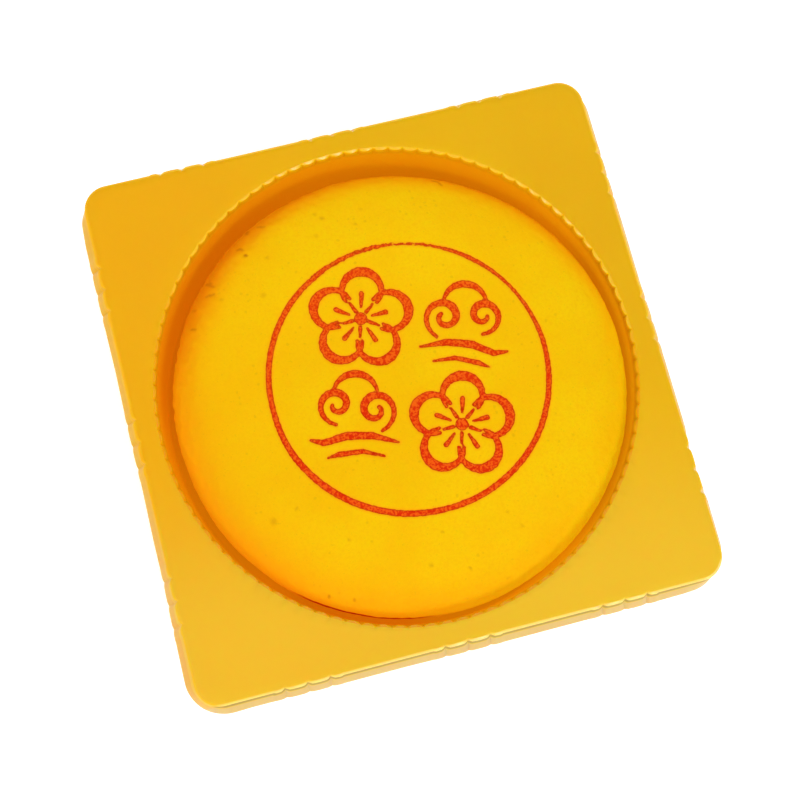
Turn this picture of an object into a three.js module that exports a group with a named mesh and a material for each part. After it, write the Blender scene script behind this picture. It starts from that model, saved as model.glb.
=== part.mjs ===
// A stamped mooncake lying in the round cup of its square moulded tray.
// Millimetres, +Z up. The tray stands on the base of its cup, at z = 0.
import * as THREE from 'three';

// ---- driving sizes ----------------------------------------------------------------

// tray: a thin sheet, moulded in one piece
const TRAY_SIDE = 93;            // across the flat top, along X
const LENGTH_RATIO = 1.0125;     // the tray is this much longer along Y
const TRAY_CORNER = 4.4;         // corner radius of the flat top
const TRAY_HEIGHT = 19;          // from the base of the cup to the flat top
const SHEET = 0.6;               // thickness of the sheet
const EDGE_ROUND = 0.5;          // rounding between the flat top and the skirt

// skirt: the short rim that hangs from the flat top and flares outward
const SKIRT_DROP = 3.4;
const SKIRT_FLARE = 1.2;
const SKIRT_CORNER = 7;          // corner radius along its lower edge

// grooves: small upright grooves in the skirt, in groups along each side
const GROOVE_GROUPS = [-27.9, 0, 27.9];   // middles of the groups, along a side
const GROOVES_IN_GROUP = 3;
const GROOVE_PITCH = 3.95;
const GROOVE_WIDTH = 0.9;
const GROOVE_DEPTH = 0.5;

// cup: round, with a ribbed mouth, a slightly tapered wall and a flat floor
const MOUTH_RADIUS = 42.2;       // to the crests of the ribs, along X
const LIP_ROUND = 0.55;          // rounding between the flat top and the wall
const FLOOR_RADIUS = 39;
const FLOOR_ROUND = 2.2;         // rounding between the wall and the floor
const FOOT_RADIUS = 41.6;        // the wall just above that rounding
const RIBS = 100;
const RIB_DEPTH = 0.45;
const RIB_FADE = 3;              // the grooves between the ribs end this far down
const NOTCH_SHARE = 0.2;         // half of a groove, as a share of one rib

// mooncake: a thick round cake with a low dome and round sides
const CAKE_RADIUS = 40.4;
const CAKE_OFFSET = [0.6, -0.95];         // it lies a little off the cup's middle
const CAKE_GAP = 0.3;            // clearance between the cake and the floor
const CAKE_HEIGHT = 19.2;
const CAKE_BELLY = 13;           // height of the widest place above the cake's base
const CAKE_BASE_RADIUS = 35;
const CAKE_CROWN_POWER = 3.6;    // how flat the dome stays before it turns down
const CAKE_SIDE_POWER = 2.2;
const CAKE_OVAL = 0.004;         // how far the outline is from round

// ---- how finely the curved surfaces are divided -----------------------------------

const COLUMNS_PER_RIB = 3;
const COLUMNS = RIBS * COLUMNS_PER_RIB;
const CORNER_STATIONS = 8;
const END_FILL = 7;              // stations between a corner and the first groove
const PITCH_FILL = 1;            // stations between two grooves of a group
const GROUP_FILL = 10;           // stations between two groups
const CAKE_COLUMNS = 72;
const CROWN_STEPS = 12;
const SIDE_STEPS = 7;

// ---- square outline ---------------------------------------------------------------

// places strictly between two values
function between(from, to, count) {
  return Array.from({ length: count }, (_, i) => from + (to - from) * (i + 1) / (count + 1));
}

// stations along one side, out to the corners' arcs at -end and end, each with its place
// and how deep a groove cuts there
function sideStations(end) {
  const stations = [];
  const fill = (from, to, count) => between(from, to, count).forEach((at) => stations.push({ at, cut: 0 }));
  let last = -end;
  GROOVE_GROUPS.forEach((middle, group) => {
    for (let i = 0; i < GROOVES_IN_GROUP; i++) {
      const at = middle + (i - (GROOVES_IN_GROUP - 1) / 2) * GROOVE_PITCH;
      const count = i > 0 ? PITCH_FILL : (group > 0 ? GROUP_FILL : END_FILL);
      fill(last, at - GROOVE_WIDTH / 2, count);
      stations.push({ at: at - GROOVE_WIDTH / 2, cut: 0 });
      stations.push({ at, cut: 1 });
      stations.push({ at: at + GROOVE_WIDTH / 2, cut: 0 });
      last = at + GROOVE_WIDTH / 2;
    }
  });
  fill(last, end, END_FILL);
  return stations;
}

// one quarter of the outline, from the middle of one corner to the middle of the next;
// every station is a point on the arc-centre frame, an outward direction and a cut
function quarterStations(end) {
  const corner = (from, to, y) => Array.from({ length: CORNER_STATIONS / 2 }, (_, i) => {
    const angle = from + (to - from) * i / (CORNER_STATIONS / 2 - 0.5);
    return { x: end, y, nx: Math.cos(angle), ny: Math.sin(angle), cut: 0 };
  });
  const lower = corner(0, -Math.PI / 4, -end).reverse();
  const upper = corner(0, Math.PI / 4, end);
  const straight = sideStations(end).map(({ at, cut }) => ({ x: end, y: at, nx: 1, ny: 0, cut }));
  return [...lower, ...straight, ...upper];
}

// the square outline moved outward by grow, with its corners rounded to a radius and its
// grooves cut to a depth
function squareRing(grow, corner, z, depth) {
  const quarter = quarterStations(TRAY_SIDE / 2 + grow - corner).map((p) => {
    const out = corner - depth * p.cut;
    return [p.x + p.nx * out, p.y + p.ny * out];
  });
  return [0, 1, 2, 3].flatMap((turn) => {
    const c = Math.round(Math.cos(turn * Math.PI / 2));
    const s = Math.round(Math.sin(turn * Math.PI / 2));
    return quarter.map(([x, y]) => [c * x - s * y, s * x + c * y, z]);
  });
}

// ---- closed surface from rings of points --------------------------------------------

// Rings of equal length run from the middle of the upper face, over the edge, to the
// middle of the lower face; both middles are single points.
function solidFromRings(topMiddle, rings, bottomMiddle) {
  const count = rings[0].length;
  const positions = [...topMiddle, ...rings.flat(2), ...bottomMiddle];
  const point = (ring, column) => 1 + ring * count + (column % count);
  const last = 1 + rings.length * count;
  const faces = [];
  for (let j = 0; j < count; j++) {
    faces.push(0, point(0, j), point(0, j + 1));
    for (let i = 0; i + 1 < rings.length; i++) {
      faces.push(point(i, j), point(i + 1, j), point(i + 1, j + 1));
      faces.push(point(i, j), point(i + 1, j + 1), point(i, j + 1));
    }
    faces.push(last, point(rings.length - 1, j + 1), point(rings.length - 1, j));
  }
  const geometry = new THREE.BufferGeometry();
  geometry.setAttribute('position', new THREE.Float32BufferAttribute(positions, 3));
  geometry.setIndex(faces);
  geometry.computeVertexNormals();
  return geometry;
}

// ---- tray -----------------------------------------------------------------------------

// columns of the cup: a groove, then the two edges of the rib beside it
function cupColumns() {
  const step = 2 * Math.PI / RIBS;
  const places = [0, NOTCH_SHARE, 1 - NOTCH_SHARE];
  return Array.from({ length: COLUMNS }, (_, j) => {
    const part = j % COLUMNS_PER_RIB;
    const rib = Math.floor(j / COLUMNS_PER_RIB);
    return { angle: -Math.PI / 4 + (rib + places[part]) * step, cut: part === 0 ? 1 : 0 };
  });
}

function cupRing(columns, radius, z, depth) {
  return columns.map(({ angle, cut }) => {
    const r = radius + depth * cut;
    return [r * Math.cos(angle), r * Math.sin(angle), z];
  });
}

function makeTray() {
  const columns = cupColumns();
  const top = TRAY_HEIGHT;
  const skirtLow = top - SKIRT_DROP;
  const wallTop = MOUTH_RADIUS - (MOUTH_RADIUS - FOOT_RADIUS) * RIB_FADE / (top - FLOOR_ROUND);
  const rings = [
    // inside of the cup
    cupRing(columns, FLOOR_RADIUS, SHEET, 0),
    cupRing(columns, FOOT_RADIUS, SHEET + FLOOR_ROUND, 0),
    cupRing(columns, wallTop, top - RIB_FADE, 0),
    cupRing(columns, MOUTH_RADIUS, top - LIP_ROUND, RIB_DEPTH),
    cupRing(columns, MOUTH_RADIUS + LIP_ROUND, top, RIB_DEPTH),
    // flat top and outside of the skirt
    squareRing(-EDGE_ROUND, TRAY_CORNER - EDGE_ROUND, top, GROOVE_DEPTH / 2),
    squareRing(0, TRAY_CORNER, top - EDGE_ROUND, GROOVE_DEPTH),
    squareRing(SKIRT_FLARE, SKIRT_CORNER, skirtLow, GROOVE_DEPTH / 2),
    // inside of the skirt and underside of the flat top
    squareRing(SKIRT_FLARE - SHEET, SKIRT_CORNER - SHEET, skirtLow, GROOVE_DEPTH / 2),
    squareRing(-SHEET, TRAY_CORNER - SHEET, top - SHEET, GROOVE_DEPTH),
    // outside of the cup
    cupRing(columns, MOUTH_RADIUS + RIB_DEPTH + SHEET, top - SHEET, 0),
    cupRing(columns, wallTop + SHEET, top - RIB_FADE, 0),
    cupRing(columns, FOOT_RADIUS + SHEET, SHEET + FLOOR_ROUND, 0),
    cupRing(columns, FLOOR_RADIUS + SHEET / 2, 0, 0),
  ];
  const lengthened = rings.map((ring) => ring.map(([x, y, z]) => [x, y * LENGTH_RATIO, z]));
  return solidFromRings([0, 0, SHEET], lengthened, [0, 0, 0]);
}

// ---- mooncake ---------------------------------------------------------------------------

// radius and height of the cake's skin, from near the middle of the dome to the base
function cakeProfile() {
  const domeHeight = CAKE_HEIGHT - CAKE_BELLY;
  const crown = Array.from({ length: CROWN_STEPS }, (_, i) => {
    const turn = Math.PI / 2 * (i + 1) / CROWN_STEPS;
    const r = Math.sin(turn) ** (2 / CAKE_CROWN_POWER) * CAKE_RADIUS;
    return [r, CAKE_BELLY + domeHeight * Math.cos(turn)];
  });
  const undercut = CAKE_RADIUS - CAKE_BASE_RADIUS;
  const side = Array.from({ length: SIDE_STEPS }, (_, i) => {
    const turn = Math.PI / 2 * (i + 1) / SIDE_STEPS;
    const r = CAKE_BASE_RADIUS + undercut * Math.max(0, Math.cos(turn)) ** (2 / CAKE_SIDE_POWER);
    return [r, CAKE_BELLY - CAKE_BELLY * Math.sin(turn) ** (2 / CAKE_SIDE_POWER)];
  });
  return [...crown, ...side];
}

function makeCake() {
  const rings = cakeProfile().map(([radius, z]) => Array.from({ length: CAKE_COLUMNS }, (_, j) => {
    const angle = 2 * Math.PI * j / CAKE_COLUMNS;
    const r = radius * (1 + CAKE_OVAL * Math.cos(2 * angle) + CAKE_OVAL / 2 * Math.cos(3 * angle));
    return [r * Math.cos(angle), r * Math.sin(angle), z];
  }));
  return solidFromRings([0, 0, CAKE_HEIGHT], rings, [0, 0, 0]);
}

// ---- the object ---------------------------------------------------------------------------

function addMesh(group, name, geometry, color, roughness) {
  const material = new THREE.MeshStandardMaterial({ color, roughness, metalness: 0 });
  const mesh = new THREE.Mesh(geometry, material);
  mesh.name = name;
  group.add(mesh);
  return mesh;
}

const group = new THREE.Group();
addMesh(group, 'tray', makeTray(), 0xe8b01c, 0.35);
const cake = addMesh(group, 'mooncake', makeCake(), 0xf7bd0a, 0.75);
cake.position.set(CAKE_OFFSET[0], CAKE_OFFSET[1], SHEET + CAKE_GAP);

export default group;
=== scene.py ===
"""A stamped mooncake lying in the ribbed cup of its square moulded tray."""

import math

import bmesh
import bpy
import numpy as np
from mathutils import Matrix, Vector, noise


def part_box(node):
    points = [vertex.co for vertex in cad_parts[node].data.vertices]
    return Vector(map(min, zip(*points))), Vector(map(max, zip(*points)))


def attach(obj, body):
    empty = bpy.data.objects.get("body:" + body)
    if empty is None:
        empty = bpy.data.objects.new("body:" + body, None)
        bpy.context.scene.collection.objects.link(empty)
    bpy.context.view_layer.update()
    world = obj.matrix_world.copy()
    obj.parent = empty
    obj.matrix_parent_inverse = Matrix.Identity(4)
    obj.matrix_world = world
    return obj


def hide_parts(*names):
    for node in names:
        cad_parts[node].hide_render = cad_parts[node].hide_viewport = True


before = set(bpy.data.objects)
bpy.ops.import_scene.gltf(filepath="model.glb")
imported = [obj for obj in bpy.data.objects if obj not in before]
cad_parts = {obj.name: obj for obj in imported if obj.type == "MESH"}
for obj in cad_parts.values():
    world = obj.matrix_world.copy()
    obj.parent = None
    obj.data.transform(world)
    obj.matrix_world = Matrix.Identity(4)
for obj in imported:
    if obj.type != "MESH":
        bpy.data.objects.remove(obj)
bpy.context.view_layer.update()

MM = 0.001

# ---- sizes taken from the frame -------------------------------------------------------------

tray_low, tray_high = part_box("tray")
cake_low, cake_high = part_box("mooncake")

TRAY_TOP = tray_high.z
SKIRT_FLARE = 1.2 * MM
HALF_SIDE = tray_high.x - SKIRT_FLARE
LENGTH_RATIO = tray_high.y / tray_high.x     # the tray is this much longer along Y
CAKE_MIDDLE = Vector(((cake_low.x + cake_high.x) / 2, (cake_low.y + cake_high.y) / 2, 0))
CAKE_BASE = cake_low.z
CAKE_HEIGHT = cake_high.z - cake_low.z

# ---- tray -----------------------------------------------------------------------------------

SHEET = 0.55 * MM
CORNER_RADIUS = 4.4 * MM
BEVEL_WIDTH = 0.42 * MM          # slanted strip along the edge of the flat top
BEVEL_DROP = 0.26 * MM
CREASE = 0.16 * MM               # how far the sheet turns in under that strip
CREASE_DROP = 0.72 * MM
SEAM_SHARE = 0.35                # marks that crease in the tray's "skirt" values
SKIRT_DROP = 3.4 * MM
SKIRT_CORNER = 7.0 * MM
# how much further out than usual the thin skirt leans, at shares of the way round the tray
# from the corner at +X and -Y
SKIRT_LEAN = ((0.0, -0.55), (0.01, -0.07), (0.026, 0.04), (0.034, -0.14), (0.044, -0.24),
              (0.054, -0.32), (0.062, 0.08), (0.1, 0.14), (0.125, 0.1), (0.15, 0.0),
              (0.186, 0.1), (0.21, 0.0), (0.24, 0.09), (0.25, 0.0), (0.4, 0.05), (0.47, -0.05),
              (0.5, -0.5), (0.51, 0.0), (0.52, 0.28), (0.535, 0.24), (0.58, 0.05), (0.61, 0.17),
              (0.65, 0.07), (0.68, 0.2), (0.7, 0.14), (0.72, 0.37), (0.74, 0.57), (0.75, 0.5),
              (0.768, 0.12), (0.84, 0.08), (0.875, 0.2), (0.94, 0.15), (0.97, 0.17),
              (0.983, 0.07), (1.0, -0.55))

GROOVE_GROUPS = (-27.9 * MM, 0.0, 27.9 * MM)
GROOVES_IN_GROUP = 3
GROOVE_PITCH = 3.95 * MM
GROOVE_REACH = 0.75 * MM         # half of the width that a groove takes along the side
GROOVE_DEPTH = 0.42 * MM
GROOVE_SHARE_TOP = 0.6           # share of that depth along the flat top
GROOVE_SHARE_LOW = 0.35          # and along the lower edge of the skirt
LOBE_BULGE = 0.14 * MM           # the side swells this much between two grooves

MOUTH_RADIUS = 42.2 * MM         # to the crests of the ribs
LIP_WIDTH = 0.54 * MM            # slanted strip round the mouth
LIP_DROP = 0.33 * MM
LIP_TURN = 0.16 * MM             # small rounding between that strip and the wall
LIP_OUT = 0.05 * MM              # how far that rounding leads outward
FOOT_RADIUS = 41.6 * MM
FLOOR_RADIUS = 39.0 * MM
FLOOR_ROUND = 2.2 * MM
RIBS = 100
RIB_DEPTH = 0.45 * MM
RIB_FADE = 1.8 * MM              # the grooves between the ribs run out over this depth
LIP_LOW = TRAY_TOP - LIP_DROP - LIP_TURN
RIB_START = LIP_LOW - RIB_FADE
PLATE_WARP = 0.12 * MM           # slow unevenness of the flat top
WARP_WIDTH = 38 * MM

# places across one rib, closer together near its groove
RIB_STATIONS = (0.0, 0.045, 0.1, 0.18, 0.33, 0.5, 0.67, 0.82, 0.9, 0.955)
# places across one groove of the skirt, from -1 to 1 times its reach
GROOVE_STATIONS = (-1.0, -0.6, -0.32, -0.13, 0.0, 0.13, 0.32, 0.6, 1.0)
CORNER_STATIONS = 12             # to each side of a corner's middle
END_FILL = 22                    # between a corner and the first groove
PITCH_FILL = 5                   # between two grooves of a group
GROUP_FILL = 36                  # between two groups

# ---- mooncake -------------------------------------------------------------------------------

CAKE_RADIUS = 40.4 * MM
CAKE_BELLY = 13.0 * MM           # height of the widest place above the base
CAKE_BASE_RADIUS = 35.0 * MM
CROWN_POWER = 3.6                # how flat the dome stays before it turns down
SIDE_POWER = 2.2
DOME_SHARE = 0.86                # the dome's points are spread evenly up to this radius
DOME_POINTS = 0.75               # and take up this share of them
CAKE_OVAL = 0.004                # how far the outline is from round
NEAR_SWELL = 0.38 * MM           # the cake swells a little towards -Y
SWELL_TURN = math.radians(252)
CAKE_TURNS = 560
CROWN_POINTS = 118
SIDE_POINTS = 22
BASE_EVEN = 3 * MM               # the skin gets its full unevenness this far above the base
SKIN_SINK = 0.1 * MM             # the uneven skin is drawn in by this much
LUMP_HEIGHT = 0.16 * MM
LUMP_WIDTH = 14 * MM
PUCKER_HEIGHT = 0.05 * MM
PUCKER_WIDTH = 2.6 * MM
ROUGH_HEIGHT = 0.1 * MM          # crumbly side of the cake
ROUGH_WIDTH = 1.3 * MM
ROUGH_DROP = 1.6 * MM            # it starts this far below the top of the dome
ROUGH_RAMP = 2 * MM
CRUMB_TURN = math.radians(138)   # its most crumbly part
CRUMB_SHARE = 1.2                # and how much rougher that is
# small dark pits in the skin: X, Y, radius in millimetres and strength
PITS = ((-20.5, 28.8, 0.4, 1.0), (-21.4, 30.4, 0.3, 0.4), (-16.9, 27.2, 0.4, 0.35),
        (-5.6, 32.1, 0.45, 0.5), (-6.6, 33.3, 0.35, 0.4), (-7.4, 29.0, 0.4, 0.3),
        (-19.2, 20.4, 0.6, 0.3), (-0.1, 29.5, 0.35, 0.4), (1.6, 32.0, 0.3, 0.4),
        (-27.0, -19.0, 0.7, 0.35), (3.7, -35.1, 0.35, 0.5), (-16.8, -35.4, 0.35, 0.6),
        (-20.9, -33.7, 0.4, 0.7), (14.3, -30.3, 0.35, 0.35), (-2.7, -33.0, 0.45, 0.4),
        (-22.7, -18.0, 0.35, 0.35), (-26.6, 21.8, 0.4, 0.3), (-15.3, -25.3, 0.35, 0.35),
        (0.6, -28.0, 0.35, 0.35), (9.8, -38.2, 0.3, 0.4), (12.5, -27.5, 0.3, 0.35))
# short dark cracks near the edge: both ends in millimetres
CRACKS = ((-21.0, 33.6, -19.8, 33.7), (-19.8, 33.7, -19.1, 33.3), (-19.1, 33.3, -18.9, 34.6),
          (-21.8, 30.5, -21.2, 30.6), (-21.2, 30.6, -20.7, 30.1), (-28.6, 25.8, -27.3, 24.8),
          (-27.9, 26.1, -27.7, 25.4), (-29.0, 23.4, -27.7, 23.2), (-32.2, 21.6, -31.6, 21.3),
          (-33.0, 18.2, -32.3, 17.6), (-17.0, 34.0, -16.1, 33.6), (16.0, 35.3, 17.0, 34.7),
          (17.0, 34.7, 17.4, 33.9))
CRACK_WIDTH = 0.3                # millimetres
CRACK_SHARE = 0.65               # how dark the cracks are beside the darkest pit
BLEMISH_PRESS = 0.08 * MM        # depth of the pits and cracks

# ---- stamp ----------------------------------------------------------------------------------

STAMP_MIDDLE = Vector((2.11 * MM, -0.12 * MM, 0))
STAMP_TURN = math.radians(-16.3)
# the ring is a little out of round and unevenly inked: angle, radius and width in millimetres
RING = ((0, 24.55, 1.05), (16, 24.6, 0.95), (46, 24.5, 0.66), (66, 24.3, 0.92), (92, 24.22, 0.46),
        (104, 24.3, 0.72), (136, 24.45, 1.02), (150, 24.6, 1.12), (176, 24.68, 1.06),
        (196, 24.6, 1.04), (216, 24.72, 1.15), (236, 24.55, 1.22), (256, 24.36, 1.2),
        (286, 24.22, 1.08), (316, 24.4, 1.12), (336, 24.58, 1.08), (360, 24.55, 1.05))
STAMP_PRESS = 0.07 * MM          # how deep the ink is pressed into the skin
STAMP_REACH = 26.5 * MM
NO_INK = 3.0                     # distance in millimetres given to the skin beyond that reach

# ---- camera, floor and light ----------------------------------------------------------------

CAMERA_AIM = Vector((-6.894 * MM, -1.071 * MM, TRAY_TOP))
CAMERA_SIDE = math.radians(23.482)     # the camera stands this far round from -Y towards -X
CAMERA_RISE = math.radians(77.488)
CAMERA_ROLL = math.radians(9.198)
CAMERA_DISTANCE = 257.15 * MM
CAMERA_LENS = 66.225
CAMERA_SHIFT = (0.0486, -0.0079)

WORLD_STRENGTH = 0.8
FLOOR_SIZE = 1.6
FLOOR_GLOW = 0.45                # keeps the pale floor as bright as the sky


# ======== general helpers ====================================================================

def new_object(name, bm):
    """Makes the object of a finished bmesh, with smooth faces."""
    mesh = bpy.data.meshes.new(name)
    for face in bm.faces:
        face.smooth = True
    bm.to_mesh(mesh)
    bm.free()
    piece = bpy.data.objects.new(name, mesh)
    bpy.context.scene.collection.objects.link(piece)
    return piece


def first_ring(bm, places):
    """A closed ring of points, moved from a circle to the given places."""
    ring = bmesh.ops.create_circle(bm, segments=len(places), radius=1.0)["verts"]
    for point, place in zip(ring, places):
        point.co = place
    return ring


def next_ring(bm, ring, places):
    """Extrudes a closed ring of points and moves the new ring to the given places."""
    edges = [bm.edges.get((point, ring[i - 1])) for i, point in enumerate(ring)]
    made = bmesh.ops.extrude_edge_only(bm, edges=edges)["geom"]
    fresh = {item for item in made if isinstance(item, bmesh.types.BMVert)}
    after = []
    for point, place in zip(ring, places):
        twin = next(e.other_vert(point) for e in point.link_edges if e.other_vert(point) in fresh)
        twin.co = place
        after.append(twin)
    return after


def close_ring(bm, ring, middle):
    """Closes a ring with a fan of faces that meet at its middle."""
    last = next_ring(bm, ring, [middle] * len(ring))
    bmesh.ops.pointmerge(bm, verts=last, merge_co=middle)


def smooth_step(value):
    value = np.clip(value, 0.0, 1.0)
    return value * value * (3 - 2 * value)


# ======== tray ===============================================================================

def groove_middles(group_middle):
    """Places of the grooves of one group along the side."""
    return [group_middle + (i - (GROOVES_IN_GROUP - 1) / 2) * GROOVE_PITCH
            for i in range(GROOVES_IN_GROUP)]


def side_stations(end):
    """Places along one side, from -end to end, close together where a groove cuts it."""
    stations = []
    last = -end
    for group, middle in enumerate(GROOVE_GROUPS):
        for i, at in enumerate(groove_middles(middle)):
            count = PITCH_FILL if i else (GROUP_FILL if group else END_FILL)
            stations += list(np.linspace(last, at - GROOVE_REACH, count + 2)[1:-1])
            stations += [at + share * GROOVE_REACH for share in GROOVE_STATIONS]
            last = at + GROOVE_REACH
    stations += list(np.linspace(last, end, END_FILL + 2)[1:-1])
    return np.array(stations)


def groove_cut(along):
    """How far the side is drawn in at each place: 1 in a groove, below 0 on the swell beside it."""
    cut = np.zeros_like(along)
    for middle in GROOVE_GROUPS:
        for at in groove_middles(middle):
            cut += np.clip(1 - np.abs(along - at) / GROOVE_REACH, 0, 1) ** 1.5
        span = GROOVES_IN_GROUP * GROOVE_PITCH / 2
        inside = np.abs(along - middle) < span
        phase = (along - middle + span) / GROOVE_PITCH - 0.5
        swell = np.where(inside, np.abs(np.sin(np.pi * phase)) ** 0.8, 0)
        cut -= swell * LOBE_BULGE / GROOVE_DEPTH
    return cut


def square_outline(grow, corner, depth):
    """The square moved outward by grow, with corners of a given radius and grooves of a depth."""
    end = HALF_SIDE + grow - corner
    along = side_stations(end)
    before = np.linspace(-math.pi / 4, 0, CORNER_STATIONS + 1)[:-1]
    after = np.linspace(0, math.pi / 4, CORNER_STATIONS + 1)[1:-1]
    angles = np.concatenate([before, np.zeros(len(along)), after])
    middles = np.concatenate([np.full(len(before), -end), along, np.full(len(after), end)])
    cut = np.concatenate([np.zeros(len(before)), groove_cut(along), np.zeros(len(after))])
    out = corner - depth * cut
    quarter = np.stack([end + out * np.cos(angles), middles + out * np.sin(angles)], 1)
    sides = []
    for turn in range(4):
        c = round(math.cos(turn * math.pi / 2))
        s = round(math.sin(turn * math.pi / 2))
        sides.append(quarter @ np.array([[c, s], [-s, c]]))
    return np.concatenate(sides)


def mouth_columns():
    """Angles and groove cuts round the cup's mouth; ribs are broad and their grooves narrow."""
    across = np.tile(np.array(RIB_STATIONS), RIBS)
    rib = np.repeat(np.arange(RIBS), len(RIB_STATIONS))
    angles = -math.pi / 4 + (rib + across) * 2 * math.pi / RIBS
    cut = 1 - np.abs(np.sin(np.pi * across)) ** 0.6
    return angles, cut


def at_height(xy, z):
    return np.column_stack([xy, np.full(len(xy), z)])


def cup_ring(radius, z, depth=0.0):
    """A ring round the cup, with the grooves between the ribs cut to a depth."""
    angles, rib_cut = mouth_columns()
    r = radius + depth * rib_cut
    return at_height(np.stack([r * np.cos(angles), r * np.sin(angles)], 1), z)


def square_ring(grow, corner, z, depth=0.0):
    return at_height(square_outline(grow, corner, depth), z)


def flat_top_ring(share):
    """A ring on the flat top, between its round inner and its square outer edge."""
    inner = cup_ring(MOUTH_RADIUS + LIP_WIDTH, TRAY_TOP)
    outer = square_ring(-BEVEL_WIDTH, CORNER_RADIUS - BEVEL_WIDTH, TRAY_TOP,
                        GROOVE_DEPTH * GROOVE_SHARE_TOP)
    return inner + (outer - inner) * share


def wall_radius(z):
    low = SHEET + FLOOR_ROUND
    return FOOT_RADIUS + (MOUTH_RADIUS - FOOT_RADIUS) * (z - low) / (LIP_LOW - low)


class Rings:
    """Rings of the tray in order, each with its places and its zone.

    A zone is how far the ring belongs to a slanted strip (0 to 1), its depth in millimetres
    down the inside of the cup, and how far it belongs to the skirt (0 to 1).
    """

    def __init__(self):
        self.rings = []

    def put(self, places, strip=0.0, skirt=0.0, inside=False):
        depth = (TRAY_TOP - places[0][2]) / MM if inside else 0.0
        self.rings.append((places, (strip, depth, skirt)))

    def cup_inside(self):
        """Floor of the cup, the rounding, the wall, and the grooves that deepen to the lip."""
        for share in (0.35, 0.7, 0.92):
            self.put(cup_ring(FLOOR_RADIUS * share, SHEET), inside=True)
        for turn in np.linspace(0, math.pi / 2, 7):
            r = FLOOR_RADIUS + (FOOT_RADIUS - FLOOR_RADIUS) * math.sin(turn)
            self.put(cup_ring(r, SHEET + FLOOR_ROUND * (1 - math.cos(turn))), inside=True)
        for z in np.linspace(SHEET + FLOOR_ROUND, RIB_START, 9)[1:]:
            self.put(cup_ring(wall_radius(z), z), inside=True)
        for share in np.linspace(0, 1, 9)[1:]:
            z = RIB_START + RIB_FADE * share
            depth = RIB_DEPTH * float(smooth_step(share))
            self.put(cup_ring(wall_radius(z), z, depth), inside=True)

    def lip(self):
        """A small rounding, then a slanted strip that is scalloped below and round above."""
        for share in (0.3, 0.7, 1.0):
            r = MOUTH_RADIUS + LIP_OUT * share ** 2
            ring = cup_ring(r, LIP_LOW + LIP_TURN * share, RIB_DEPTH)
            self.put(ring, inside=True, strip=float(share == 1))
        for share in (0.12, 0.35, 0.6, 0.85, 0.95, 1.0):
            r = MOUTH_RADIUS + LIP_OUT + (LIP_WIDTH - LIP_OUT) * share
            z = TRAY_TOP - LIP_DROP * (1 - share) ** 1.12
            ring = cup_ring(r, z, RIB_DEPTH * (1 - share))
            self.put(ring, strip=min(1.0, (1 - share) / 0.15))

    def edge(self):
        """The slanted strip along the edge of the flat top and the crease under it."""
        for share in (0.0, 0.06, 0.15, 0.4, 0.65, 0.85, 0.95, 1.0):
            grow = BEVEL_WIDTH * (share - 1)
            z = TRAY_TOP - BEVEL_DROP * share ** 1.12
            depth = GROOVE_DEPTH * (GROOVE_SHARE_TOP + (1 - GROOVE_SHARE_TOP) * share)
            ring = square_ring(grow, CORNER_RADIUS + grow, z, depth)
            self.put(ring, strip=min(1.0, share / 0.15), skirt=SEAM_SHARE if share == 1 else 0.0)
        for share in (0.25, 0.6, 1.0):
            grow = -CREASE * share ** 1.5
            z = TRAY_TOP - BEVEL_DROP - (CREASE_DROP - BEVEL_DROP) * share
            self.put(square_ring(grow, CORNER_RADIUS + grow, z, GROOVE_DEPTH), skirt=SEAM_SHARE)

    def skirt(self):
        """The flared skirt down to its lower edge."""
        for share in np.linspace(0, 1, 9)[1:]:
            z = TRAY_TOP - CREASE_DROP - (SKIRT_DROP - CREASE_DROP) * share
            grow = -CREASE + (SKIRT_FLARE + CREASE) * share ** 0.85
            corner = CORNER_RADIUS + (SKIRT_CORNER - CORNER_RADIUS) * share
            depth = GROOVE_DEPTH * (1 - (1 - GROOVE_SHARE_LOW) * share)
            zone = 0.4 if share < 0.2 else (0.5 if share < 0.3 else 1.0)
            self.put(square_ring(grow, corner, z, depth), skirt=zone)

    def underside(self):
        """Cut edge of the sheet, inside of the skirt and underside of the flat top."""
        self.put(square_ring(SKIRT_FLARE - SHEET, SKIRT_CORNER - SHEET, TRAY_TOP - SKIRT_DROP,
                             GROOVE_DEPTH * GROOVE_SHARE_LOW), skirt=1.0)
        self.put(square_ring(-SHEET, CORNER_RADIUS - SHEET, TRAY_TOP - 1.5 * SHEET, GROOVE_DEPTH),
                 skirt=0.3)
        self.put(square_ring(-2 * SHEET, CORNER_RADIUS - 2 * SHEET, TRAY_TOP - SHEET))
        self.put(cup_ring(MOUTH_RADIUS + LIP_WIDTH + SHEET, TRAY_TOP - SHEET))

    def cup_outside(self):
        self.put(cup_ring(MOUTH_RADIUS + SHEET, TRAY_TOP - 2 * SHEET, RIB_DEPTH))
        for share in (0.6, 0.25, 0.0):
            z = RIB_START + RIB_FADE * share
            self.put(cup_ring(wall_radius(z) + SHEET, z, RIB_DEPTH * share))
        self.put(cup_ring(FOOT_RADIUS + SHEET, SHEET + FLOOR_ROUND))
        for turn in np.linspace(math.pi / 2, 0, 6)[1:]:
            r = FLOOR_RADIUS + (FOOT_RADIUS - FLOOR_RADIUS + SHEET) * math.sin(turn)
            self.put(cup_ring(r, (SHEET + FLOOR_ROUND) * (1 - math.cos(turn))))


def tray_rings():
    """Rings from the cup's floor over the lip, the edge and the skirt to the underside."""
    made = Rings()
    made.cup_inside()
    made.lip()
    for share in (0.12, 0.3, 0.5, 0.7, 0.88):
        made.put(flat_top_ring(share))
    made.edge()
    made.skirt()
    made.underside()
    made.cup_outside()
    return made.rings


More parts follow.
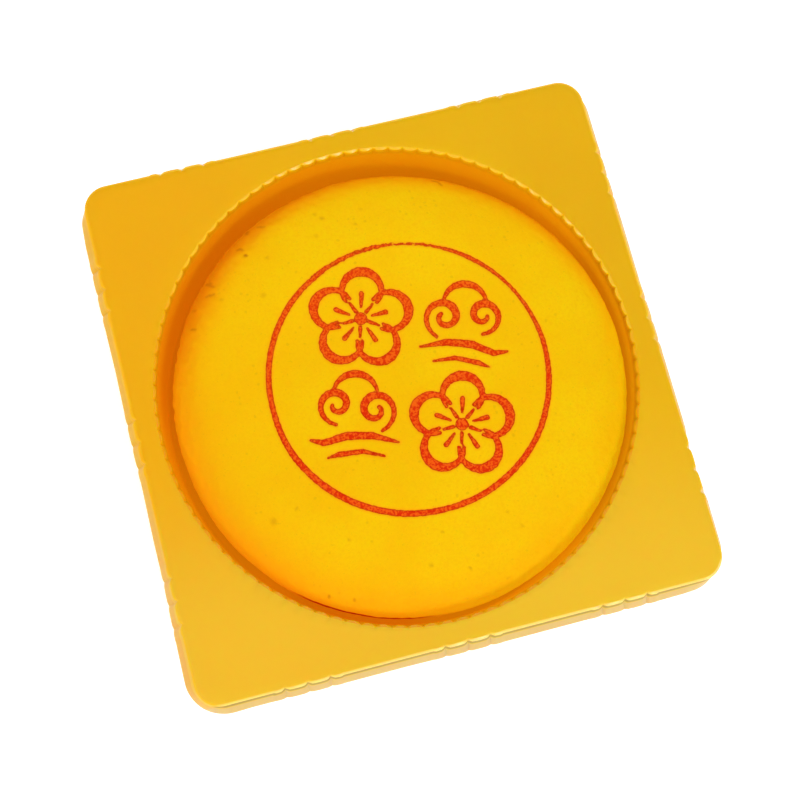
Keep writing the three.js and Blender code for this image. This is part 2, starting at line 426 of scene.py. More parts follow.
def flex(place):
    """The slight warp of the thin sheet: the flat top dips and rises, the skirt leans."""
    x, y, z = place
    high = max(0.0, z - (TRAY_TOP - SKIRT_DROP)) / SKIRT_DROP
    rise = PLATE_WARP * (noise.noise(Vector((x / WARP_WIDTH, y / WARP_WIDTH, 4.7))) - 0.5)
    hang = 0.0
    if math.hypot(x, y) > MOUTH_RADIUS + 2 * MM:
        hang = min(1.0, max(0.0, (TRAY_TOP - CREASE_DROP - z) / (SKIRT_DROP - CREASE_DROP)))
    way = (math.atan2(y, x) / (2 * math.pi) + 0.125) % 1.0
    lean = float(np.interp(way, *zip(*SKIRT_LEAN))) * MM
    out = 1 + lean * hang / math.hypot(x, y) if hang else 1
    return Vector((x * out, y * out * LENGTH_RATIO, z + rise * high))


def make_tray():
    bm = bmesh.new()
    layers = [bm.verts.layers.float.new(name) for name in ("strip", "cup_depth", "skirt")]
    ring = None
    for places, zone in tray_rings():
        flexed = [flex(place) for place in places]
        if ring is None:
            start = ring = first_ring(bm, flexed)
        else:
            ring = next_ring(bm, ring, flexed)
        for point in ring:
            for layer, value in zip(layers, zone):
                point[layer] = value
    close_ring(bm, ring, Vector((0, 0, 0)))
    close_ring(bm, start, Vector((0, 0, SHEET)))
    bmesh.ops.recalc_face_normals(bm, faces=bm.faces)
    return new_object("tray_sheet", bm)


# ======== stamp: distances to its strokes ====================================================

def taper(points, widths):
    """A stroke: points in the stamp's plane in millimetres, and its width at each of them."""
    return np.array(points, float), np.broadcast_to(np.array(widths, float), (len(points),))


def stroke_distance(spots, stroke):
    """Distance from every spot to the edge of a stroke, below 0 inside it."""
    points, widths = stroke
    best = np.full(len(spots), 1e3)
    for a, b, wa, wb in zip(points[:-1], points[1:], widths[:-1], widths[1:]):
        run = b - a
        length = float(run @ run) or 1e-9
        share = np.clip((spots - a) @ run / length, 0, 1)
        gap = np.hypot(*(spots - a - share[:, None] * run).T)
        best = np.minimum(best, gap - (wa + (wb - wa) * share) / 2)
    return best


def arc(middle, radius, start, end, widths, steps=14, squeeze=1.0):
    """A curved stroke; widths are those at its start, middle and end."""
    turns = np.radians(np.linspace(start, end, steps))
    points = np.stack([middle[0] + radius * np.cos(turns),
                       middle[1] + radius * squeeze * np.sin(turns)], 1)
    return taper(points, np.interp(np.linspace(0, 1, steps), [0, 0.5, 1], widths))


def scroll(middle, outer, inner, start, sweep, widths, steps=26):
    """A spiral stroke that winds in from the outer to the inner radius."""
    share = np.linspace(0, 1, steps)
    turns = np.radians(start + sweep * share)
    radius = outer + (inner - outer) * share ** 0.8
    points = np.stack([middle[0] + radius * np.cos(turns), middle[1] + radius * np.sin(turns)], 1)
    return taper(points, np.interp(share, [0, 0.4, 1], widths))


def moved(strokes, middle, mirror=1):
    """The same strokes about another middle, mirrored left to right if mirror is -1."""
    shift = np.array(middle)
    return [(points * np.array([mirror, 1]) + shift, widths) for points, widths in strokes]


def blossom():
    """A five-petalled flower in outline, with short stamens round a dot."""
    strokes = [taper([(0, 0), (0.01, 0)], 2.3)]
    for i in range(5):
        turn = 90 + 72 * i
        axis = np.array([math.cos(math.radians(turn)), math.sin(math.radians(turn))])
        strokes.append(arc(axis * 5.2, 3.5, turn - 128, turn + 128, (0.7, 1.9, 0.7)))
        tip = np.radians(turn + 36)
        far = np.array([math.cos(tip), math.sin(tip)])
        strokes.append(taper([axis * 2.1, axis * 4.6], (0.5, 1.0)))
        strokes.append(taper([far * 1.6, far * 3.4], (0.8, 0.5)))
    return strokes


def cloud():
    """A cloud of three curls over a long tail."""
    return [
        scroll((-3.4, 1.2), 3.9, 0.8, 250, -470, (0.7, 1.5, 0.8)),
        scroll((3.4, 1.8), 3.5, 0.8, 270, 440, (0.7, 1.5, 0.8)),
        arc((0.2, 3.6), 3.9, 15, 165, (0.7, 1.5, 0.7)),
        taper([(-7.6, -4.4), (-3.0, -3.4), (1.4, -3.6), (5.4, -5.0), (7.8, -4.6)],
              (0.5, 1.3, 1.5, 1.2, 0.5)),
        taper([(-5.2, -6.9), (-1.4, -6.2), (2.6, -6.9), (4.6, -7.6)], (0.5, 0.9, 1.0, 0.4)),
    ]


def stamp_distance(spots):
    """Distance from every spot, in millimetres about the ring's middle, to the nearest ink."""
    angles, radii, widths = zip(*RING)
    turn = np.degrees(np.arctan2(spots[:, 1], spots[:, 0])) % 360
    ring = np.abs(np.hypot(*spots.T) - np.interp(turn, angles, radii))
    ring -= np.interp(turn, angles, widths) / 2
    best = ring
    strokes = (moved(blossom(), (-8.9, 9.9)) + moved(cloud(), (9.3, 9.6))
               + moved(cloud(), (-9.2, -7.6), -1) + moved(blossom(), (9.3, -8.4)))
    for stroke in strokes:
        best = np.minimum(best, stroke_distance(spots, stroke))
    return best


# ======== mooncake ===========================================================================

def cake_profile():
    """Points of the skin from the top of the dome to the edge of the base, as (radius, height)."""
    dome = CAKE_HEIGHT - CAKE_BELLY
    crown = []
    for share in np.linspace(0, 1, CROWN_POINTS)[1:]:
        if share < DOME_POINTS:
            r = DOME_SHARE * CAKE_RADIUS * share / DOME_POINTS
            z = CAKE_BELLY + dome * math.sqrt(1 - (r / CAKE_RADIUS) ** CROWN_POWER)
        else:
            first = math.asin(math.sqrt(DOME_SHARE ** CROWN_POWER))
            turn = first + (math.pi / 2 - first) * (share - DOME_POINTS) / (1 - DOME_POINTS)
            r = math.sin(turn) ** (2 / CROWN_POWER) * CAKE_RADIUS
            z = CAKE_BELLY + dome * max(0.0, math.cos(turn))
        crown.append((r, z))
    side = []
    for share in np.linspace(0, 1, SIDE_POINTS)[1:]:
        turn = share * math.pi / 2
        undercut = CAKE_RADIUS - CAKE_BASE_RADIUS
        r = CAKE_BASE_RADIUS + undercut * max(0.0, math.cos(turn)) ** (2 / SIDE_POWER)
        side.append((r, CAKE_BELLY - CAKE_BELLY * math.sin(turn) ** (2 / SIDE_POWER)))
    return crown + side


def blemish_share(spots):
    """How far each spot, in millimetres, lies in one of the small pits or cracks, 0 to 1."""
    share = np.zeros(len(spots))
    for x, y, radius, strength in PITS:
        gap = np.hypot(spots[:, 0] - x, spots[:, 1] - y)
        share = np.maximum(share, strength * smooth_step(1.3 - gap / radius))
    for crack in CRACKS:
        stroke = taper(np.reshape(crack, (2, 2)), CRACK_WIDTH)
        near = smooth_step(0.6 - stroke_distance(spots, stroke) / 0.4)
        share = np.maximum(share, CRACK_SHARE * near)
    return share


def spin_cake(bm):
    """Spins the skin's line round the middle and closes the small holes above and below."""
    line = [bm.verts.new((r, 0, z + CAKE_BASE)) for r, z in cake_profile()]
    edges = [bm.edges.new(pair) for pair in zip(line[:-1], line[1:])]
    bmesh.ops.spin(bm, geom=line + edges, cent=(0, 0, 0), axis=(0, 0, 1), dvec=(0, 0, 0),
                   angle=2 * math.pi, steps=CAKE_TURNS, use_merge=True, use_duplicate=False)
    for height in (CAKE_BASE + CAKE_HEIGHT, CAKE_BASE):
        rim = [e for e in bm.edges if e.is_boundary
               and abs(e.verts[0].co.z - height) < 0.4 * MM]
        fill = bmesh.ops.edgeloop_fill(bm, edges=rim)["faces"]
        bmesh.ops.poke(bm, faces=fill)
    bmesh.ops.recalc_face_normals(bm, faces=bm.faces)


def ink_distance(places, top_side):
    """Distance of each place, in millimetres, to the nearest ink."""
    flat = (places[:, :2] - np.array(STAMP_MIDDLE.xy)) / MM
    c, s = math.cos(-STAMP_TURN), math.sin(-STAMP_TURN)
    spots = flat @ np.array([[c, s], [-s, c]])
    near = top_side & (np.hypot(*spots.T) < STAMP_REACH / MM)
    distance = np.full(len(places), NO_INK)
    distance[near] = np.clip(stamp_distance(spots[near]), -2, NO_INK)
    return distance


def make_cake():
    bm = bmesh.new()
    spin_cake(bm)
    distance_layer = bm.verts.layers.float.new("stamp_distance")
    blemish_layer = bm.verts.layers.float.new("blemish")
    verts = list(bm.verts)
    places = np.array([v.co for v in verts])
    turn = np.arctan2(places[:, 1], places[:, 0])
    oval = 1 + CAKE_OVAL * np.cos(2 * turn) + CAKE_OVAL / 2 * np.cos(3 * turn)
    oval += NEAR_SWELL / CAKE_RADIUS * np.clip(np.cos(turn - SWELL_TURN), 0, 1) ** 1.5
    places[:, 0] = places[:, 0] * oval + CAKE_MIDDLE.x
    places[:, 1] = places[:, 1] * oval + CAKE_MIDDLE.y

    height = places[:, 2] - CAKE_BASE
    distance = ink_distance(places, height > CAKE_BELLY + 4 * MM)
    blemish = np.where(height > CAKE_BELLY, blemish_share(places[:, :2] / MM), 0)
    press = STAMP_PRESS * smooth_step(0.5 - distance / 0.3) + BLEMISH_PRESS * blemish
    above_base = smooth_step(height / BASE_EVEN)
    rough_part = smooth_step((CAKE_HEIGHT - ROUGH_DROP - height) / ROUGH_RAMP)
    rough_part *= 1 + CRUMB_SHARE * smooth_step((np.cos(turn - CRUMB_TURN) - 0.6) / 0.3)
    for i, vert in enumerate(verts):
        place = Vector(places[i])
        lump = noise.noise(place / LUMP_WIDTH) * LUMP_HEIGHT
        pucker = noise.noise(place / PUCKER_WIDTH) * PUCKER_HEIGHT
        rough = noise.noise(place / ROUGH_WIDTH) * ROUGH_HEIGHT * float(rough_part[i])
        uneven = lump + pucker + rough - SKIN_SINK
        vert.co = place + vert.normal * float(above_base[i]) * uneven
        vert.co.z -= float(press[i])
        vert[distance_layer] = float(distance[i])
        vert[blemish_layer] = float(blemish[i])
    return new_object("cake", bm)


# ======== materials ==========================================================================

class Nodes:
    """Short calls that add and link shader nodes in one tree."""

    def __init__(self, tree):
        self.tree = tree
        tree.nodes.clear()

    def add(self, kind, settings=None, **inputs):
        node = self.tree.nodes.new(kind)
        for key, value in (settings or {}).items():
            setattr(node, key, value)
        for name, value in inputs.items():
            self.feed(node, name.replace("_", " "), value)
        return node

    def feed(self, node, name, value):
        socket = node.inputs[int(name)] if name.isdigit() else node.inputs[name]
        if isinstance(value, bpy.types.NodeSocket):
            self.tree.links.new(value, socket)
        else:
            socket.default_value = value

    def attribute(self, name):
        return self.add("ShaderNodeAttribute", {"attribute_name": name}).outputs["Fac"]

    def math(self, operation, a, b=0.0, c=0.0, clamp=False):
        node = self.add("ShaderNodeMath", {"operation": operation, "use_clamp": clamp})
        for i, value in enumerate((a, b, c)):
            self.feed(node, str(i), value)
        return node.outputs[0]

    def times(self, a, b):
        return self.math("MULTIPLY", a, b)

    def mix(self, share, a, b):
        node = self.add("ShaderNodeMix", {"data_type": "RGBA"})
        self.feed(node, "0", share)
        self.feed(node, "6", a)
        self.feed(node, "7", b)
        return node.outputs[2]

    def span(self, value, low, high, to_low=0.0, to_high=1.0, smooth=True):
        kind = "SMOOTHSTEP" if smooth else "LINEAR"
        node = self.add("ShaderNodeMapRange", {"interpolation_type": kind})
        for i, item in enumerate((value, low, high, to_low, to_high)):
            self.feed(node, str(i), item)
        return node.outputs[0]


def colour(red, green, blue):
    """Linear values for a shader, from a colour as a screen shows it, 0 to 255."""
    def linear(value):
        value /= 255
        return value / 12.92 if value <= 0.04045 else ((value + 0.055) / 1.055) ** 2.4
    return (linear(red), linear(green), linear(blue), 1.0)


def make_group(name, inputs, outputs):
    """An empty shader node group with named float inputs and outputs."""
    tree = bpy.data.node_groups.new(name, "ShaderNodeTree")
    for label, default in inputs:
        socket = tree.interface.new_socket(label, in_out="INPUT", socket_type="NodeSocketFloat")
        socket.default_value = default
    for label in outputs:
        tree.interface.new_socket(label, in_out="OUTPUT", socket_type="NodeSocketFloat")
    nodes = Nodes(tree)
    entry = nodes.add("NodeGroupInput")
    leave = nodes.add("NodeGroupOutput")
    return tree, nodes, entry, leave


def width_scale(nodes, entry):
    """Object coordinates, and a noise scale from the group's width in millimetres."""
    where = nodes.add("ShaderNodeTexCoord").outputs["Object"]
    return where, nodes.math("DIVIDE", 1000.0, entry.outputs["Width mm"])


def make_drift_group():
    """Slow changes of tone over a surface, about half in the middle."""
    tree, nodes, entry, leave = make_group("Tone drift", [("Width mm", 20.0)], ["Tone"])
    where, scale = width_scale(nodes, entry)
    field = nodes.add("ShaderNodeTexNoise", Vector=where, Scale=scale, Detail=2.0, Roughness=0.5)
    nodes.feed(leave, "Tone", field.outputs["Fac"])
    return tree


def make_grain_group():
    """Fine grain: a height for bump and a mask of its darker spots."""
    tree, nodes, entry, leave = make_group("Fine grain", [("Width mm", 0.5)], ["Height", "Spots"])
    where, scale = width_scale(nodes, entry)
    field = nodes.add("ShaderNodeTexNoise", Vector=where, Scale=scale, Detail=4.0, Roughness=0.62)
    nodes.feed(leave, "Height", field.outputs["Fac"])
    nodes.feed(leave, "Spots", nodes.span(field.outputs["Fac"], 0.42, 0.3))
    return tree


def make_speck_group():
    """Scattered specks: a mask, of which the share and strength change over the surface."""
    tree, nodes, entry, leave = make_group("Specks", [("Width mm", 1.0)], ["Mask"])
    where, scale = width_scale(nodes, entry)
    wander = nodes.add("ShaderNodeTexNoise", Vector=where, Scale=nodes.times(scale, 1.6))
    shift = nodes.add("ShaderNodeVectorMath", {"operation": "SCALE"})
    nodes.feed(shift, "0", wander.outputs["Color"])
    nodes.feed(shift, "Scale", nodes.times(entry.outputs["Width mm"], 0.5 * MM))
    moved_to = nodes.add("ShaderNodeVectorMath", {"operation": "ADD"})
    nodes.feed(moved_to, "0", where)
    nodes.feed(moved_to, "1", shift.outputs[0])
    cells = nodes.add("ShaderNodeTexVoronoi", Vector=moved_to.outputs[0], Scale=scale)
    chance = nodes.add("ShaderNodeSeparateColor", Color=cells.outputs["Color"]).outputs["Red"]
    patches = nodes.add("ShaderNodeTexNoise", Vector=where, Scale=150.0, Detail=1.0)
    limit = nodes.span(patches.outputs["Fac"], 0.35, 0.7, 0.02, 0.3)
    size = nodes.span(nodes.math("SUBTRACT", chance, limit), 0.0, -0.15, 0.0, 0.34, False)
    nodes.feed(leave, "Mask", nodes.span(nodes.math("SUBTRACT", cells.outputs["Distance"], size),
                                         0.04, -0.12))
    return tree


def new_material(name):
    material = bpy.data.materials.new(name)
    material.use_nodes = True
    nodes = Nodes(material.node_tree)
    shader = nodes.add("ShaderNodeBsdfPrincipled")
    out = nodes.add("ShaderNodeOutputMaterial")
    nodes.feed(out, "Surface", shader.outputs[0])
    return material, nodes, shader


def add_group(nodes, tree, **inputs):
    return nodes.add("ShaderNodeGroup", {"node_tree": tree}, **inputs).outputs


def object_place(nodes):
    """Object coordinates, whole and as their X, Y and Z."""
    where = nodes.add("ShaderNodeTexCoord").outputs["Object"]
    return where, nodes.add("ShaderNodeSeparateXYZ", Vector=where).outputs


def set_subsurface(nodes, shader, radius, scale):
    """Light that spreads inside the material, which reaches furthest in red."""
    nodes.feed(shader, "Subsurface Weight", 1.0)
    nodes.feed(shader, "Subsurface Radius", radius)
    nodes.feed(shader, "Subsurface Scale", scale)


def set_bump(nodes, shader, strength, depth, height):
    bump = nodes.add("ShaderNodeBump", Strength=strength, Distance=depth, Height=height)
    nodes.feed(shader, "Normal", bump.outputs[0])


# ---- golden sheet -----------------------------------------------------------------------------

def tray_zones(nodes):
    """Masks for the parts of the tray and for the sides that it turns to the light."""
    where, axis = object_place(nodes)
    across, length = axis["X"], axis["Y"]
    strip, depth, skirt = (nodes.attribute(name) for name in ("strip", "cup_depth", "skirt"))
    past_corner = nodes.math("MAXIMUM", nodes.math("SUBTRACT", across, 42 * MM), 0.0)
    front_skirt = nodes.math("MULTIPLY_ADD", past_corner, -0.6, length)
    back = nodes.times(nodes.span(length, -12 * MM, 4 * MM),
                       nodes.span(across, -41 * MM, -30 * MM, 0.3, 1.0))
    reach = nodes.add("ShaderNodeVectorMath", {"operation": "LENGTH"}, Vector=where)
    left = nodes.span(across, 12 * MM, -30 * MM)
    from_seam = nodes.math("ABSOLUTE", nodes.math("SUBTRACT", skirt, SEAM_SHARE))
    return {
        "strip": strip,
        "wall": nodes.span(depth, 0.34, 0.5),
        "inner": nodes.span(depth, 0.6, 1.5),
        "deep": nodes.span(depth, 1.2, 2.8),
        "skirt": nodes.span(skirt, 0.5, 0.9),
        "crease_shade": nodes.span(from_seam, 0.3, 0.05),
        "front": nodes.span(nodes.math("MULTIPLY_ADD", across, 0.12, length), -4 * MM, -42 * MM),
        "front skirt": nodes.span(front_skirt, -46.4 * MM, -47.2 * MM),
        "back": back,
        "left": left,
        "left back": nodes.times(left, nodes.span(length, -12 * MM, 14 * MM)),
        "right": nodes.times(nodes.span(across, 18 * MM, 36 * MM),
                             nodes.span(length, 26 * MM, 8 * MM)),
        "near lip": nodes.times(nodes.math("SUBTRACT", strip, back, clamp=True),
                                nodes.span(reach.outputs["Value"], 49 * MM, 48 * MM, 0.0, 0.55)),
        "near left": nodes.times(nodes.span(length, -22 * MM, -38 * MM),
                                 nodes.span(across, 2 * MM, -11 * MM)),
    }


def flat_top_colour(nodes, zones, tone, lit_strip_highlight):
    """Golden, with painted light: paler towards the front, more orange to the left, painted
    highlights on the slanted strips along the edges and painted shade on the lip's near side.
    """
    base = nodes.mix(nodes.span(tone, 0.3, 0.7), colour(227, 178, 12), colour(231, 186, 14))
    # painted light: the flat top turns paler towards the front, which the lamps light more
    base = nodes.mix(nodes.times(zones["front"], 0.7), base, colour(232, 197, 18))
    # painted shade: the flat top turns more orange towards the left, away from the light
    warm = nodes.times(zones["left"], nodes.span(zones["front"], 0.0, 1.0, 0.6, 0.15))
    base = nodes.mix(warm, base, colour(238, 180, 9))
    # painted highlight: the slanted strips that face the lamps, at the back of the mouth and along
    # the front edge, are paler
    base = nodes.mix(nodes.times(lit_strip_highlight, 0.6), base, colour(246, 206, 30))
    # painted shade: the lip's slanted strip is darker orange on the near side, which faces away
    # from the lamps
    base = nodes.mix(zones["near lip"], base, colour(236, 150, 6))
    # painted highlight: a pale cream line along the front edge's strip and round the corner at +X
    # and -Y
    front_strip_highlight = nodes.times(zones["strip"], zones["front skirt"])
    return nodes.mix(nodes.times(front_strip_highlight, 0.8), base, colour(246, 226, 136))


def tray_colour(nodes, zones, base):
    """The flat top's colour, with painted shade making it darker orange down inside the cup, a
    painted pale sheen along the front skirt and a thin painted shadow under the edge's strip.
    """
    right = zones["right"]
    # painted shade: the cup's wall turns darker and more orange further down, a little more so on
    # the right
    wall = nodes.mix(right, colour(218, 166, 5), colour(206, 146, 5))
    base = nodes.mix(zones["wall"], base, wall)
    inner = nodes.mix(right, colour(207, 145, 5), colour(192, 122, 4))
    base = nodes.mix(zones["inner"], base, inner)
    base = nodes.mix(zones["deep"], base, colour(193, 129, 4))
    # painted light: the skirt turns pale along the front, where the lamps light it and shine in it
    skirt = nodes.mix(zones["front skirt"], colour(222, 168, 12), colour(210, 176, 92))
    base = nodes.mix(zones["skirt"], base, skirt)
    # painted shadow: a thin dark line in the crease under the edge's strip, strongest along the
    # front
    line = nodes.times(zones["crease_shade"], nodes.span(zones["front skirt"], 0.0, 1.0, 0.12, 0.9))
    return nodes.mix(line, base, colour(168, 138, 42))


def set_cup_glow(nodes, shader, zones):
    """Painted glow: emission on the cup's wall that stands in for light shining through the thin
    sheet into the cup.
    """
    glow = nodes.mix(zones["left back"], colour(189, 123, 2), colour(189, 107, 2))
    glow = nodes.mix(zones["near left"], glow, colour(226, 124, 2))
    nodes.feed(shader, "Emission Color", nodes.mix(zones["deep"], colour(222, 140, 3), glow))
    strength = nodes.math("MULTIPLY_ADD", zones["wall"], 0.13, nodes.times(zones["deep"], 0.46))
    strength = nodes.times(strength, nodes.span(zones["right"], 0.0, 1.0, 1.0, 0.75))
    nodes.feed(shader, "Emission Strength", strength)


def make_tray_material(drift, grain):
    """Golden plastic sheet: satin, glossy on its slanted strips, with painted shade and glow that
    turn it orange down inside the cup.
    """
    material, nodes, shader = new_material("golden sheet")
    tone = add_group(nodes, drift, Width_mm=45.0)["Tone"]
    fine = add_group(nodes, grain, Width_mm=0.9)
    zones = tray_zones(nodes)
    # the slanted strips that face the lamps get a painted highlight and more gloss
    lit_strip_highlight = nodes.times(zones["strip"], nodes.math("MAXIMUM", zones["back"], zones["front skirt"]))
    base = flat_top_colour(nodes, zones, tone, lit_strip_highlight)
    nodes.feed(shader, "Base Color", tray_colour(nodes, zones, base))
    satin = nodes.span(tone, 0.3, 0.7, 0.28, 0.36)
    nodes.feed(shader, "Roughness", nodes.span(zones["strip"], 0.0, 1.0, satin, 0.22))
    sheen = nodes.math("MULTIPLY_ADD", zones["front"], 0.25, 0.1)
    nodes.feed(shader, "Specular IOR Level", nodes.math("MULTIPLY_ADD", lit_strip_highlight, 0.28, sheen))
    set_subsurface(nodes, shader, (1.0, 0.45, 0.05), 0.5 * MM)
    set_cup_glow(nodes, shader, zones)
    set_bump(nodes, shader, 0.12, 0.05 * MM, fine["Height"])
    return material


# ---- baked skin -------------------------------------------------------------------------------

def cake_zones(nodes, axis):
    """Masks for the sides of the cake, by how far down and to which side a place lies."""
    across, length, height = axis["X"], axis["Y"], axis["Z"]
    near = nodes.span(length, 28 * MM, -8 * MM)
    far = nodes.math("SUBTRACT", 1.0, near)
    left = nodes.span(across, 16 * MM, -36 * MM, 0.12, 1.0)
    turned = nodes.times(nodes.span(length, 5 * MM, -38 * MM, 0.0, 0.8),
                         nodes.span(across, 32 * MM, -4 * MM, 0.25, 1.0))
    near_side = nodes.span(height, TRAY_TOP + 0.2 * MM, TRAY_TOP - 5 * MM)
    near_side = nodes.times(near_side, nodes.math("MAXIMUM", left, turned))
    far_height = nodes.math("MULTIPLY_ADD", left, -0.8 * MM, height)
    far_side = nodes.span(far_height, TRAY_TOP - 1.5 * MM, TRAY_TOP - 3.8 * MM)
    far_edge = nodes.span(far_height, TRAY_TOP - 3.4 * MM, TRAY_TOP - 4.4 * MM, 0.0, 0.38)
    contact_shade = nodes.span(height, TRAY_TOP - 4.4 * MM, TRAY_TOP - 4.9 * MM)
    for start, end in ((0, -9), (-29, -23)):
        contact_shade = nodes.times(contact_shade, nodes.span(across, start * MM, end * MM))
    return {
        "near": near,
        "left": left,
        "near side": nodes.times(near_side, near),
        "far side": nodes.times(far_side, far),
        "far edge": nodes.times(far, far_edge),
        "contact_shade": nodes.times(contact_shade, nodes.span(length, -20 * MM, -28 * MM)),
    }


def skin_colour(nodes, zones, across, tone, fine, dots):
    """Yellow skin with a fine mottle and olive specks, orange down the sides partly from baking and
    partly as painted light from the cup, with painted shade on the far side and a painted shadow
    line low on the near left.
    """
    skin = nodes.mix(nodes.span(tone, 0.35, 0.65), colour(251, 198, 5), colour(253, 207, 8))
    warm = nodes.span(across, -6 * MM, -34 * MM, 0.0, 0.5)
    skin = nodes.mix(warm, skin, colour(249, 188, 6))
    mottle = nodes.span(fine["Height"], 0.36, 0.64, 0.0, 0.6, False)
    skin = nodes.mix(mottle, skin, colour(244, 188, 6))
    olive = nodes.math("MAXIMUM", nodes.times(fine["Spots"], 0.4), nodes.times(dots, 0.34))
    skin = nodes.mix(olive, skin, colour(216, 168, 12))
    # partly baked colour, partly painted orange light from the cup: the near side turns orange
    # going down
    skin = nodes.mix(zones["near side"], skin, colour(242, 150, 9))
    # painted shade: the far side darkens as the dome turns down, more on the left, and darker still
    # at its far edge
    far_side = nodes.mix(zones["left"], colour(238, 168, 5), colour(228, 132, 4))
    skin = nodes.mix(zones["far side"], skin, far_side)
    skin = nodes.mix(zones["far edge"], skin, colour(200, 96, 2))
    # painted shadow: a thin dark red line low on the near left side, where the cake meets the gap
    skin = nodes.mix(zones["contact_shade"], skin, colour(190, 40, 1))
    return nodes.mix(nodes.times(nodes.attribute("blemish"), 0.8), skin, colour(168, 64, 2))


def set_side_glow(nodes, shader, zones, axis):
    """Painted glow: emission on the side of the cake that stands in for light the golden cup throws
    on it, with a slight painted lift on the far side.
    """
    glow = nodes.span(axis["Z"], TRAY_TOP - 1.6 * MM, TRAY_TOP - 4.6 * MM, 0.0, 0.42)
    no_contact = nodes.math("SUBTRACT", 1.0, zones["contact_shade"])
    glow = nodes.times(nodes.times(glow, zones["near"]), no_contact)
    back = nodes.span(axis["Y"], -15 * MM, 25 * MM, 0.0, 0.06)
    lift = nodes.math("MULTIPLY_ADD", zones["far side"], 0.13, back)
    near_glow = nodes.mix(zones["left"], colour(165, 183, 6), colour(164, 138, 6))
    tint = nodes.mix(zones["near"], colour(210, 144, 5), near_glow)
    nodes.feed(shader, "Emission Color", tint)
    nodes.feed(shader, "Emission Strength", nodes.math("ADD", glow, lift))


def inked(nodes, skin, where, length):
    """The skin's colour with the stamp's red ink on it, patchy and with a ragged edge."""
    ragged = nodes.add("ShaderNodeTexNoise", Vector=where, Scale=1000 / 0.7, Detail=3.0)
    reach = nodes.span(length, 19 * MM, 24 * MM, 0.3, 0.75)
    ragged_part = nodes.math("SUBTRACT", ragged.outputs["Fac"], 0.5)
    edge = nodes.math("MULTIPLY_ADD", ragged_part, reach, nodes.attribute("stamp_distance"))
    patchy = nodes.add("ShaderNodeTexNoise", Vector=where, Scale=1000 / 0.42, Detail=3.0)
    patches = nodes.span(patchy.outputs["Fac"], 0.4, 0.62)
    ink = nodes.mix(patches, colour(224, 44, 5), colour(242, 106, 20))
    rim = nodes.span(nodes.math("ABSOLUTE", nodes.math("ADD", edge, 0.1)), 0.16, 0.0)
    ink = nodes.mix(nodes.times(rim, 0.6), ink, colour(186, 34, 2))
    halo = nodes.times(nodes.span(edge, 0.55, 0.0), 0.35)
    skin = nodes.mix(halo, skin, colour(254, 158, 24))
    return nodes.mix(nodes.span(edge, 0.07, -0.07), skin, ink)


def make_cake_material(drift, grain, specks):
    """Baked yellow skin, more orange down the side partly from baking and partly as painted light
    and shade, with red ink where the stamp touched it.
    """
    material, nodes, shader = new_material("baked skin")
    where, axis = object_place(nodes)
    tone = add_group(nodes, drift, Width_mm=16.0)["Tone"]
    fine = add_group(nodes, grain, Width_mm=0.55)
    dots = add_group(nodes, specks, Width_mm=0.95)["Mask"]
    zones = cake_zones(nodes, axis)
    skin = skin_colour(nodes, zones, axis["X"], tone, fine, dots)
    nodes.feed(shader, "Base Color", inked(nodes, skin, where, axis["Y"]))
    nodes.feed(shader, "Roughness", nodes.span(tone, 0.3, 0.7, 0.6, 0.72))
    nodes.feed(shader, "Specular IOR Level", 0.03)
    set_subsurface(nodes, shader, (1.0, 0.4, 0.1), 1.5 * MM)
    set_side_glow(nodes, shader, zones, axis)
    set_bump(nodes, shader, 0.5, 0.08 * MM, fine["Height"])
    return material


# ---- pale floor -------------------------------------------------------------------------------

def make_floor_material():
    material, nodes, shader = new_material("pale floor")
    where = nodes.add("ShaderNodeTexCoord").outputs["Object"]
    cloud_field = nodes.add("ShaderNodeTexNoise", Vector=where, Scale=4.0, Detail=2.0)
    tint = nodes.mix(cloud_field.outputs["Fac"], colour(252, 252, 251), colour(254, 254, 254))
    nodes.feed(shader, "Base Color", tint)
    nodes.feed(shader, "Emission Color", (1.0, 1.0, 1.0, 1.0))
    nodes.feed(shader, "Emission Strength", FLOOR_GLOW)
    nodes.feed(shader, "Roughness", 0.9)
    return material


# ======== stage, light and camera ============================================================

def make_floor():
    bm = bmesh.new()
    bmesh.ops.create_grid(bm, x_segments=8, y_segments=8, size=FLOOR_SIZE)
    floor = new_object("floor", bm)
    floor.data.materials.append(make_floor_material())


def direction(side, rise):
    """The direction towards a place that is turned round from -Y towards -X, and raised."""
    flat = math.cos(rise)
    return Vector((-math.sin(side) * flat, -math.cos(side) * flat, math.sin(rise)))


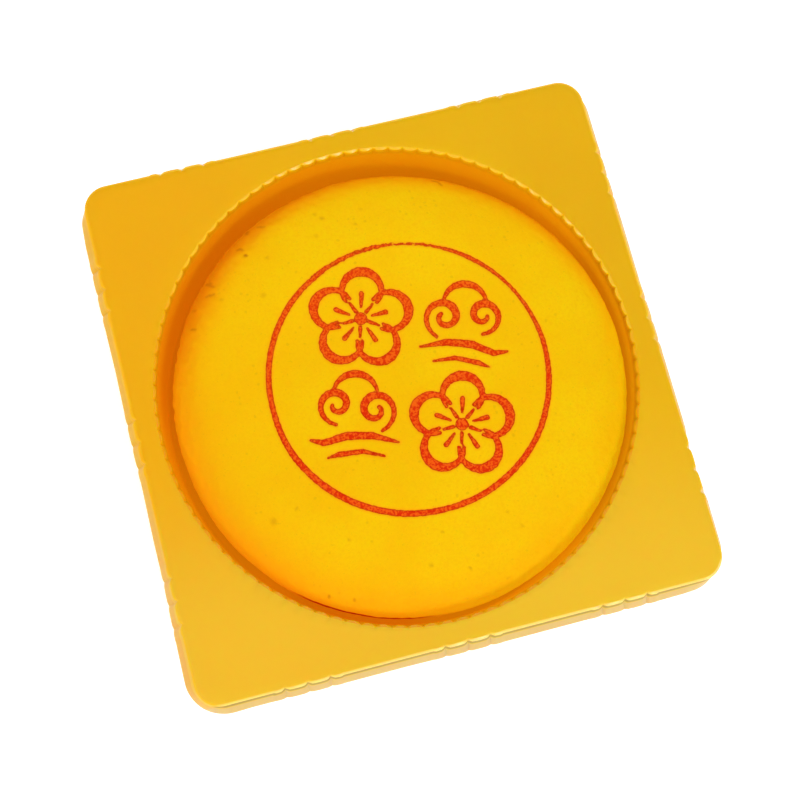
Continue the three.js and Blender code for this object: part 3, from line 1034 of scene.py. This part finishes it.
def camera_axes():
    """The camera's right, up and back directions."""
    back = direction(CAMERA_SIDE, CAMERA_RISE)
    right = Vector((0, 0, 1)).cross(back).normalized()
    up = back.cross(right)
    c, s = math.cos(CAMERA_ROLL), math.sin(CAMERA_ROLL)
    return c * right + s * up, c * up - s * right, back


def make_camera():
    right, up, back = camera_axes()
    data = bpy.data.cameras.new("camera")
    data.sensor_width = 36.0
    data.lens = CAMERA_LENS
    data.shift_x, data.shift_y = CAMERA_SHIFT
    data.clip_start = 0.01
    camera = bpy.data.objects.new("camera", data)
    turned = Matrix((right, up, back)).transposed()
    camera.matrix_world = Matrix.Translation(CAMERA_AIM + back * CAMERA_DISTANCE) @ turned.to_4x4()
    bpy.context.scene.collection.objects.link(camera)
    bpy.context.scene.camera = camera


def make_lamp(name, side, rise, distance, size, power):
    """A square soft light that looks at the tray."""
    data = bpy.data.lights.new(name, "AREA")
    data.shape = "SQUARE"
    data.size = size
    data.energy = power
    lamp = bpy.data.objects.new(name, data)
    away = direction(math.radians(side), math.radians(rise))
    lamp.location = away * distance
    lamp.rotation_euler = away.to_track_quat("Z", "Y").to_euler()
    bpy.context.scene.collection.objects.link(lamp)


def make_light():
    world = bpy.data.worlds.new("studio")
    world.use_nodes = True
    background = world.node_tree.nodes["Background"]
    background.inputs["Color"].default_value = (1.0, 1.0, 1.0, 1.0)
    background.inputs["Strength"].default_value = WORLD_STRENGTH
    bpy.context.scene.world = world
    make_lamp("front light", side=-15, rise=42, distance=0.55, size=0.15, power=0.7)
    make_lamp("left light", side=66, rise=42, distance=0.6, size=0.12, power=0.42)


# ======== the object =========================================================================

make_camera()
make_light()
make_floor()
drift_group = make_drift_group()
grain_group = make_grain_group()
speck_group = make_speck_group()

tray = make_tray()
tray.data.materials.append(make_tray_material(drift_group, grain_group))
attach(tray, "root")
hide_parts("tray")

cake = make_cake()
cake.data.materials.append(make_cake_material(drift_group, grain_group, speck_group))
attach(cake, "root")
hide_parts("mooncake")

bpy.context.scene.view_settings.view_transform = "Standard"
